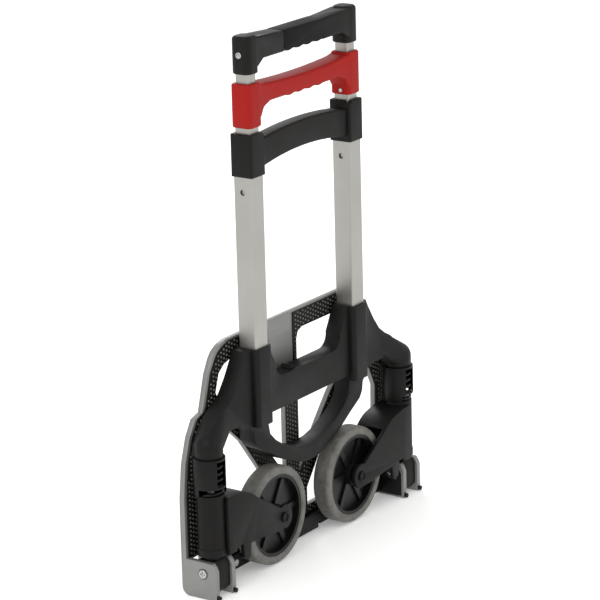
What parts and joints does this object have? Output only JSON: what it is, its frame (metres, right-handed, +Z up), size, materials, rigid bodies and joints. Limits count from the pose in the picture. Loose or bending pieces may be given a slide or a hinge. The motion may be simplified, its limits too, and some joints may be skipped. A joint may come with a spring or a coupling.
{
  "type": "folding hand truck",
  "caption": "Folding hand truck, folded: telescopic twin-tube mast, moulded frame, fold-up toe plate and forked wheels that swing out with it.",
  "frame": {"origin": "on the ground, midway between the two ends of the toe plate and midway through the folded depth", "axes": "+Z up along the mast, -Y towards the load side where the toe plate folds down, +Y towards the operator, +X the operator's left when facing the load"},
  "size_m": [0.491, 0.06, 0.7135],
  "materials": {
    "black_nylon": "satin, fine moulded grain",
    "red_nylon": "satin",
    "soft_grip": "matte",
    "anodised_tube": "satin, clear anodised",
    "acetal": "satin",
    "zinc_steel": "bright zinc plated",
    "spring_steel": "black, oiled",
    "grey_tyre": "matte",
    "hub_plastic": "satin",
    "bush_nylon": "satin",
    "plate_metal": "satin, cast and tumbled",
    "pad_rubber": "matte, raised texture"
  },
  "bodies": {
    "frame": {"main_frame": "black_nylon", "plate_catch": "black_nylon", "outer_tube_left": "anodised_tube", "outer_tube_right": "anodised_tube", "lower_crosspiece": "black_nylon", "tube_guide_left": "acetal", "tube_guide_right": "acetal", "hinge_post_left": "zinc_steel", "hinge_post_right": "zinc_steel", "knuckle_left": "black_nylon", "knuckle_right": "black_nylon", "thrust_washers": "zinc_steel"},
    "middle_stage": {"middle_tube_left": "anodised_tube", "middle_tube_right": "anodised_tube", "middle_crosspiece": "red_nylon", "middle_glides": "acetal", "middle_pins": "zinc_steel", "snap_button_lower_left": "zinc_steel", "snap_button_lower_right": "zinc_steel"},
    "top_stage": {"inner_tube_left": "anodised_tube", "inner_tube_right": "anodised_tube", "top_handle": "black_nylon", "handle_grip": "soft_grip", "handle_screws": "zinc_steel", "inner_glides": "acetal", "snap_button_upper_left": "zinc_steel", "snap_button_upper_right": "zinc_steel"},
    "toe_plate": {"toe_plate": "plate_metal", "toe_pad": "pad_rubber", "toe_rail": "black_nylon", "rail_rivets": "zinc_steel", "toe_feet": "black_nylon", "pivot_bolts": "zinc_steel", "pivot_nuts": "zinc_steel"},
    "fork_left": {"fork_left": "black_nylon", "fork_spring_left": "spring_steel", "axle_left": "zinc_steel", "axle_caps_left": "black_nylon"},
    "fork_right": {"fork_right": "black_nylon", "fork_spring_right": "spring_steel", "axle_right": "zinc_steel", "axle_caps_right": "black_nylon"},
    "wheel_left": {"hub_left": "hub_plastic", "tyre_left": "grey_tyre", "wheel_bush_left": "bush_nylon"},
    "wheel_right": {"hub_right": "hub_plastic", "tyre_right": "grey_tyre", "wheel_bush_right": "bush_nylon"}
  },
  "joints": [
    {"name": "middle_slide", "type": "slide", "parent": "frame", "child": "middle_stage", "axis": [0, 0, 1], "range_m": [0, 0.18]},
    {"name": "top_slide", "type": "slide", "parent": "middle_stage", "child": "top_stage", "axis": [0, 0, 1], "range_m": [0, 0.18]},
    {"name": "toe_plate_fold", "type": "hinge", "parent": "frame", "child": "toe_plate", "pos_m": [0, 0.004, 0.034], "axis": [1, 0, 0], "range_deg": [0, 90]},
    {"name": "fork_left_swing", "type": "hinge", "parent": "frame", "child": "fork_left", "pos_m": [0.2225, 0.004, 0.1], "axis": [0, 0, 1], "range_deg": [-90, 0]},
    {"name": "fork_right_swing", "type": "hinge", "parent": "frame", "child": "fork_right", "pos_m": [-0.2225, 0.004, 0.1], "axis": [0, 0, 1], "range_deg": [0, 90]},
    {"name": "wheel_left_spin", "type": "hinge", "parent": "fork_left", "child": "wheel_left", "pos_m": [0.092, 0.004, 0.0675], "axis": [0, 1, 0], "continuous": true},
    {"name": "wheel_right_spin", "type": "hinge", "parent": "fork_right", "child": "wheel_right", "pos_m": [-0.092, 0.004, 0.0675], "axis": [0, 1, 0], "continuous": true}
  ],
  "couplings": [
    {"joint": "fork_left_swing", "follows": "toe_plate_fold", "ratio": -1},
    {"joint": "fork_right_swing", "follows": "toe_plate_fold", "ratio": 1}
  ]
}
